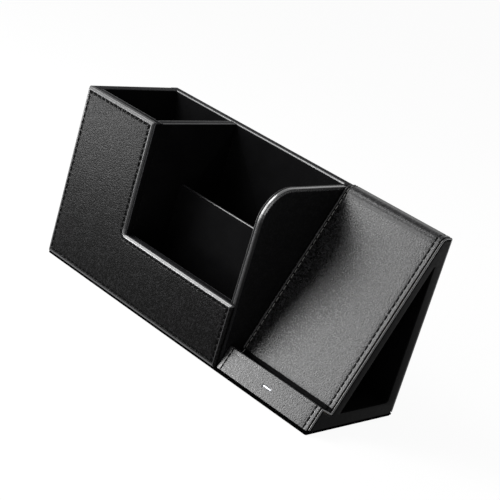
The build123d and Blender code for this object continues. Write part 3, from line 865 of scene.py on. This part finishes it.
make_front_binding()
make_left_cover()
make_back_cover()
make_divider_cap()
make_right_wall_cover()
make_cup_liner()
make_bay_liner()
make_low_divider()
make_base_sheet()

# Stand
LIP_FOOT = (1.67, PLATE_TOP)
LEDGE_DEPTH = 10.6
LEDGE_HEIGHT = 11.0
RIDGE_Y = 67.7


def stand_points():
    """Corners of the stand's outline in Y and Z, anticlockwise from the back's foot to the lip's."""
    reach = (RIDGE_Y - LIP_FOOT[0], STAND_TOP - PLATE_TOP)
    angle = math.atan2(reach[1], reach[0]) + math.asin(LEDGE_DEPTH / math.hypot(*reach))
    up = (math.cos(angle), math.sin(angle))
    out = (-up[1], up[0])
    on_slope = (LIP_FOOT[0] - out[0] * LEDGE_DEPTH, LIP_FOOT[1] - out[1] * LEDGE_DEPTH)
    t = (LEDGE_HEIGHT - on_slope[1]) / up[1]
    corner = (on_slope[0] + up[0] * t, LEDGE_HEIGHT)
    lip_top = crossing(LIP_FOOT, up, corner, out)
    return [(DEPTH, PLATE_TOP), (DEPTH, STAND_TOP), (RIDGE_Y, STAND_TOP), corner, lip_top, LIP_FOOT], up, out


# Radii of the back's foot and top, the ridge, the ledge's fold, the lip's edge and its foot
STAND_RADII = [0, 1.5, 5.0, 0.5, 0.8, 0]
stand_corners, SLOPE_UP, SLOPE_OUT = stand_points()
LEDGE_CORNER = stand_corners[3]
SLOPE_LENGTH = math.dist(stand_corners[2], LEDGE_CORNER)
stand_shape = Outline(stand_corners, STAND_RADII, spacing=0.5, steps=10)
LIGHT_X, LIGHT_UP = 196.65, 6.8
LIGHT_HALF = (3.1, 0.46)


def capsule(x, y, half_x, half_y):
    """How far a point lies outside a capsule around the origin."""
    straight = max(abs(x) - (half_x - half_y), 0.0)
    return math.hypot(straight, y) - half_y


def outline_normals(ring):
    """Way out of an open outline at each of its points."""
    result = []
    for i in range(len(ring)):
        a, b = ring[max(i - 1, 0)], ring[min(i + 1, len(ring) - 1)]
        d = unit(a, b)
        result.append((d[1], -d[0]))
    return result


def stand_ring(inset=0.0):
    """The outline from the back's foot over the top, slope, ledge and lip to the lip's foot."""
    return stand_shape.ring(inset, closed=False)


outer_ring = stand_ring()
outer_normals = outline_normals(outer_ring)
outer_lengths, outer_total = lengths_along(outer_ring, False)
stand_pitch = outer_total / round(outer_total / STITCH_PITCH)

# Seams, creases and edges of the wrap
LEFT_SEAM, LIP_SEAM, RIGHT_SEAM = STAND + 2.6, STAND + 3.0, 230.5
STAND_STITCH = 2.8
DENT_HALF = 0.48
EDGE_BEAD = 1.6
CREASE_END = 3.6
GROOVE_HALF, GROOVE_DEPTH = 1.1, 0.12
LIP_CREASE_UP = 12.4
LIGHT_RIM = 0.35
DEEPEST_DIP = 0.84


def on_lip(y, z):
    """Whether a place lies on the lip rather than on the ledge or slope."""
    return y < 12 and z < 20


def rounded_fall(share, depth):
    """How far a rounded edge has fallen at a share of its width."""
    return depth * (1 - math.sqrt(max(0.0, 1 - share**2)))


def stand_dip(s, x, y, z):
    """How far the wrap lies below its plain outline at a place."""
    dip = stitch_dent(s, stand_pitch, x - RIGHT_SEAM, DENT_HALF, STAND_STITCH)
    if abs(x - RIGHT_SEAM) < GROOVE_HALF:
        dip = max(dip, GROOVE_DEPTH * (1 - abs(x - RIGHT_SEAM) / GROOVE_HALF))
    from_left, from_right = x - STAND, WRAP_RIGHT - x
    if on_lip(y, z):
        dip += stitch_dent(s, stand_pitch, x - LIP_SEAM, DENT_HALF, STAND_STITCH)
        if from_left < 0.5:
            dip += rounded_fall(1 - from_left / 0.5, 0.6)
    elif from_left < EDGE_BEAD:
        half = EDGE_BEAD / 2
        dip += rounded_fall((from_left - half) / half, 0.7)
    elif from_left < CREASE_END:
        dip += 0.6 * (CREASE_END - from_left) / (CREASE_END - EDGE_BEAD)
    if from_right < 0.55:
        dip += rounded_fall(1 - from_right / 0.55, 0.75)
    if on_lip(y, z):
        lip_up = (y - LIP_FOOT[0]) * SLOPE_UP[0] + (z - LIP_FOOT[1]) * SLOPE_UP[1]
        dip += 0.12 * math.exp(-(((lip_up - LIP_CREASE_UP) / 0.5) ** 2))
        far = capsule(x - LIGHT_X, lip_up - LIGHT_UP, *LIGHT_HALF)
        if far < LIGHT_RIM:
            dip += 0.7 * min(1.0, max(0.0, (LIGHT_RIM - far) / 0.3))
    return min(dip, DEEPEST_DIP)


def wrap_mark(a, b):
    """Material of the wrap between two outline points: the dark side leather in the fold as painted shade,
    and duller copies towards the ridge as a painted dark band.
    """
    y, z = (a[0] + b[0]) / 2 - LEDGE_CORNER[0], (a[1] + b[1]) / 2 - LEDGE_CORNER[1]
    along = y * SLOPE_UP[0] + z * SLOPE_UP[1]
    out = y * SLOPE_OUT[0] + z * SLOPE_OUT[1]
    in_fold = -0.3 < along < 2.5 and out < LEDGE_DEPTH - 2.2
    near_ridge = along > SLOPE_LENGTH - 6.0 and out > -3.0
    if in_fold:
        return 1
    if near_ridge:
        return 3 if along > SLOPE_LENGTH - 3.6 else 2
    return 0


def x_lines():
    """Places of the grid's lines across the wrap, close together where there is detail."""
    # Where each stretch starts and how far apart its lines may lie
    stretches = [
        (STAND, 0.16),
        (STAND + EDGE_BEAD, 0.2),
        (STAND + CREASE_END + 0.4, 3.0),
        (LIGHT_X - 4.0, 0.25),
        (LIGHT_X + 4.0, 3.0),
        (RIGHT_SEAM - 0.9, 0.18),
        (RIGHT_SEAM + 0.9, 0.4),
        (WRAP_RIGHT - 0.9, 0.15),
        (WRAP_RIGHT, None),
    ]
    lines = set()
    for (low, step), (high, _) in zip(stretches, stretches[1:]):
        count = max(1, math.ceil((high - low) / step))
        lines.update(round(low + (high - low) * k / count, 4) for k in range(count + 1))
    return sorted(lines)


def make_stand_cover():
    """The wrap: a grid of columns from back to lip with dips for seams and light, and its inside."""
    mesh = Mesh()
    inner = stand_ring(0.86)
    lines = x_lines()
    columns, inners = [], []
    for x in lines:
        column = []
        for (y, z), (ny, nz), s in zip(outer_ring, outer_normals, outer_lengths):
            dip = stand_dip(s, x, y, z)
            column.append((x, y - ny * dip, z - nz * dip))
        columns.append(mesh.add(column))
        inners.append(mesh.add([(x, y, z) for y, z in inner]))
    marks = [wrap_mark(a, b) for a, b in zip(outer_ring, outer_ring[1:])]
    crease_half = 0.12
    for left, a, b in zip(lines, columns, columns[1:]):
        middle = left + 0.1
        crease = EDGE_BEAD - 0.1 < left - STAND < CREASE_END - 0.5
        lip_crease = abs(middle - LIP_SEAM) < crease_half
        at_right = WRAP_RIGHT - left < 0.32
        for i, mark in enumerate(marks):
            lip = on_lip(*outer_ring[i])
            # The strip left of the lip seam takes the lighter lip leather: painted light
            if lip and middle < LIP_SEAM - crease_half:
                mesh.mark = 4
            # The creases and the right edge take the dark side leather: painted shade
            elif at_right or (lip_crease if lip else crease):
                mesh.mark = 1
            else:
                mesh.mark = mark
            mesh.face((a[i], a[i + 1], b[i + 1], b[i]))
    mesh.mark = 0
    for a, b in zip(inners, inners[1:]):
        mesh.band(a, b, closed=False)
    for outer_column, inner_column in ((columns[0], inners[0]), (columns[-1], inners[-1])):
        mesh.band(outer_column, inner_column, closed=False)
    for end in (0, -1):
        for k in range(len(columns) - 1):
            mesh.face((columns[k][end], columns[k + 1][end], inners[k + 1][end], inners[k][end]))
    materials = [stand_leather, side_leather, *shaded_ridge_leathers, lit_lip_leather]
    piece("stand_cover", mesh, materials, ["stand_leather"])


def make_stand_stitches():
    """Threads of both seams; on the lip the left one lies a little further right and is black, and elsewhere
    its thread is painted lighter as a highlight.
    """
    lip_deep = 0.72
    # Name, place across, depth below the outline, lift, radius and material of each seam
    seams = (
        ("left", LEFT_SEAM, 0.3, 0.22, 0.24, highlight_thread),
        ("right", RIGHT_SEAM, 0.75, 0.25, 0.32, thread),
    )
    for name, seam, deep, lift, radius, material in seams:
        mesh = Mesh()

        def where(s):
            y, z = point_at(outer_ring, outer_lengths, outer_total, s, False)
            ny, nz = point_at(outer_normals, outer_lengths, outer_total, s, False)
            if name == "left" and on_lip(y, z):
                return (LIP_SEAM, y - ny * lip_deep, z - nz * lip_deep), (0, ny, nz)
            return (seam, y - ny * deep, z - nz * deep), (0, ny, nz)

        def mark(s):
            return 1 if on_lip(*point_at(outer_ring, outer_lengths, outer_total, s, False)) else 0

        stitch_run(mesh, where, outer_total, stand_pitch, lift, radius, STAND_STITCH, mark)
        piece("stand_stitches_" + name, mesh, [material, thread])


def make_stand_piping():
    mesh = Mesh()
    x, inset, radius = 234.38, 0.6, 0.55
    ring = Outline(stand_corners, STAND_RADII, spacing=2.0).ring(inset, closed=False)
    mesh.tube([(x, y, z) for y, z in ring], radius, sides=12)
    piece("stand_piping", mesh, [rim_leather], ["stand_piping"])


SLOPE_BOARD, BACK_BOARD, BASE_BOARD = 5.5, 6.5, 6.9
SIDE_PANEL = 1.4
TUNNEL_RADII = [0.4, 2.2, 0.4]


def below_slope(start, along, deep):
    """Y and Z of a place up the slope from a start and below its surface."""
    y = start[0] + SLOPE_UP[0] * along - SLOPE_OUT[0] * deep
    z = start[1] + SLOPE_UP[1] * along - SLOPE_OUT[1] * deep
    return y, z


def tunnel_outline():
    """The triangular tunnel in Y and Z, anticlockwise."""
    start = below_slope(LEDGE_CORNER, 0, LEATHER + SLOPE_BOARD + LINING)
    back = DEPTH - LEATHER - BACK_BOARD - LINING
    floor = PLATE_TOP + BASE_BOARD + LINING
    low = crossing(start, SLOPE_UP, (0, floor), (1, 0))
    high = crossing(start, SLOPE_UP, (back, 0), (0, 1))
    return [low, (back, floor), high]


window = Outline(tunnel_outline(), TUNNEL_RADII, spacing=3.0, steps=8)


def make_side_panels():
    """The right panel with the tunnel's window and rounded edges, and the plain left one."""
    mesh = Mesh()
    side = Outline(stand_corners, STAND_RADII, weights=[1, 1, 1, 1, 1, 0], spacing=3.0, steps=8)
    levels = [(1.4, WIDTH - SIDE_PANEL), (1.4, 234.5), (1.5, 234.72), (1.75, 234.88), (2.2, 234.93)]
    outside = mesh.stack(side, along_x, levels)
    widening = (0.0, 0.0, 0.08, 0.25, 0.5)
    hole = mesh.stack(window, along_x, [(-d, x) for d, (_, x) in zip(widening, levels)])
    mesh.bands(outside)
    mesh.bands(hole)
    mesh.cap(outside[0], hole[0])
    mesh.cap(outside[-1], hole[-1])
    piece("side_panel_right", mesh, [side_leather], ["stand_side_panel_right"])
    mesh = Mesh()
    mesh.plate(side, along_x, [(LEATHER, STAND), (LEATHER, STAND + SIDE_PANEL)])
    piece("side_panel_left", mesh, [side_leather], ["stand_side_panel_left"])


# The charging socket sits at the foot of its housing, in the middle of its circuit board's length.
# Its hole in the tunnel's lining leaves 0.25 mm around the socket's shell.
HOUSING_FROM_RIDGE, HOUSING_LENGTH, HOUSING_WALL = 19.4, 64.0, 1.2
CIRCUIT_LENGTH = 11.0
SOCKET_UP = SLOPE_LENGTH - HOUSING_FROM_RIDGE - HOUSING_LENGTH + HOUSING_WALL + CIRCUIT_LENGTH / 2
SOCKET_HALF = (4.72, 1.83)


def socket_hole():
    """A block across the tunnel's lining, as wide as the hole around the charging socket."""
    mesh = Mesh()
    half_x, half_up = SOCKET_HALF
    outline = Outline(box_points(-half_x, -half_up, half_x, half_up), 0.6, steps=5)

    def place(point, deep):
        return (LIGHT_X + point[0], *below_slope(LEDGE_CORNER, SOCKET_UP + point[1], deep))

    mesh.plate(outline, place, [(0, 5.5), (0, 8.5)])
    data = bpy.data.meshes.new("socket_hole")
    data.from_pydata([metres(p) for p in mesh.points], [], mesh.faces)
    return data


def cut(target, shape):
    """Takes a closed shape away from an object."""
    cutter = bpy.data.objects.new(shape.name, shape)
    scene.collection.objects.link(cutter)
    modifier = target.modifiers.new("cut", "BOOLEAN")
    modifier.operation = "DIFFERENCE"
    modifier.solver = "EXACT"
    modifier.object = cutter
    result = bpy.data.meshes.new_from_object(target.evaluated_get(bpy.context.evaluated_depsgraph_get()))
    target.modifiers.clear()
    target.data = result
    bpy.data.objects.remove(cutter)


def make_tunnel_liner():
    """A sleeve between the two side panels, with the hole for the charging socket."""
    mesh = Mesh()
    outside, left, right = -0.75, STAND + SIDE_PANEL, WIDTH - SIDE_PANEL
    rings = mesh.stack(window, along_x, [(outside, left), (outside, right), (0, right), (0, left)])
    mesh.bands(rings + rings[:1])
    liner = piece("tunnel_liner", mesh, [side_leather], ["tunnel_lining"])
    cut(liner, socket_hole())


def make_light_lens():
    """The white light guide in the lip, a capsule that is crowned a little."""
    mesh = Mesh()
    half_x, half_up = 3.0, 0.37
    outline = Outline(box_points(-half_x, -half_up, half_x, half_up), half_up - 0.03)

    def place(point, deep):
        return (LIGHT_X + point[0], *below_slope(LIP_FOOT, LIGHT_UP + point[1], deep))

    mesh.plate(outline, place, [(0, 2.5), (0, 0.3), (0.06, 0.18), (0.2, 0.1), (0.35, 0.07)])
    piece("light_lens", mesh, [light_white], ["light_guide"])


make_stand_cover()
make_stand_stitches()
make_stand_piping()
make_side_panels()
make_tunnel_liner()
make_light_lens()


# Floor, surroundings and lamps
def white_background(tree, other, share):
    """Mixes plain white with another shader for camera, glossy and transmission rays."""
    path = tree.nodes.new("ShaderNodeLightPath")
    seen = maths(tree, "MAXIMUM", path.outputs["Is Camera Ray"], path.outputs["Is Glossy Ray"])
    seen = maths(tree, "MAXIMUM", seen, path.outputs["Is Transmission Ray"])
    seen = maths(tree, "MULTIPLY", seen, share)
    mix = tree.nodes.new("ShaderNodeMixShader")
    white = tree.nodes.new("ShaderNodeEmission" if share < 1 else "ShaderNodeBackground")
    white.inputs["Strength"].default_value = 1.0
    link(tree, seen, mix.inputs["Fac"])
    link(tree, other, mix.inputs[1])
    link(tree, white.outputs[0], mix.inputs[2])
    return mix.outputs[0]


def make_floor():
    far = 4
    data = bpy.data.meshes.new("floor")
    data.from_pydata([(x, y, 0) for x, y in box_points(-far, -far, far, far)], [], [(0, 1, 2, 3)])
    floor = bpy.data.objects.new("floor", data)
    scene.collection.objects.link(floor)
    material, tree, shader = new_material("white_floor")
    shader.inputs["Base Color"].default_value = (0.9, 0.9, 0.9, 1)
    shader.inputs["Roughness"].default_value = 0.9
    shader.inputs["Specular IOR Level"].default_value = 0.0
    out = tree.nodes["Material Output"]
    link(tree, white_background(tree, shader.outputs["BSDF"], 0.94), out.inputs["Surface"])
    data.materials.append(material)
    floor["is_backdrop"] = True


def make_world():
    world = bpy.data.worlds.new("studio")
    world.use_nodes = True
    tree = world.node_tree
    plain = tree.nodes["Background"]
    plain.inputs["Color"].default_value = (1, 1, 1, 1)
    plain.inputs["Strength"].default_value = 0.45
    out = tree.nodes["World Output"]
    mixed = white_background(tree, plain.outputs["Background"], 1)
    link(tree, mixed, out.inputs["Surface"])
    scene.world = world


def softbox(name, place, target, size, radiance):
    """A soft rectangular lamp that the camera doesn't see."""
    data = bpy.data.lights.new(name, "AREA")
    data.shape = "RECTANGLE"
    data.size, data.size_y = size
    data.energy = radiance * size[0] * size[1] * math.pi
    lamp = bpy.data.objects.new(name, data)
    aim = Vector(target) - Vector(place)
    lamp.matrix_world = Matrix.Translation(place) @ aim.to_track_quat("-Z", "Y").to_matrix().to_4x4()
    lamp.visible_camera = False
    scene.collection.objects.link(lamp)


make_floor()
make_world()
softbox("low_box", (-0.29, -0.26, 0.03), (-0.085, -0.03, 0.1), (0.24, 0.05), 43.0)
softbox("front_left_box", (-0.36, -0.42, 0.25), (0, 0, 0.1), (0.5, 0.36), 7.0)
softbox("high_box", (-0.45, -0.25, 0.62), (0, 0, 0.08), (0.4, 0.3), 14.0)
softbox("back_right_box", (0.30, 0.22, 0.03), (0.1175, 0.02, 0.1), (0.2, 0.05), 6.0)

scene.view_settings.view_transform = "Standard"
boxes = [[list(corner) for corner in bounds] for bounds in (cad_bounds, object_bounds())]
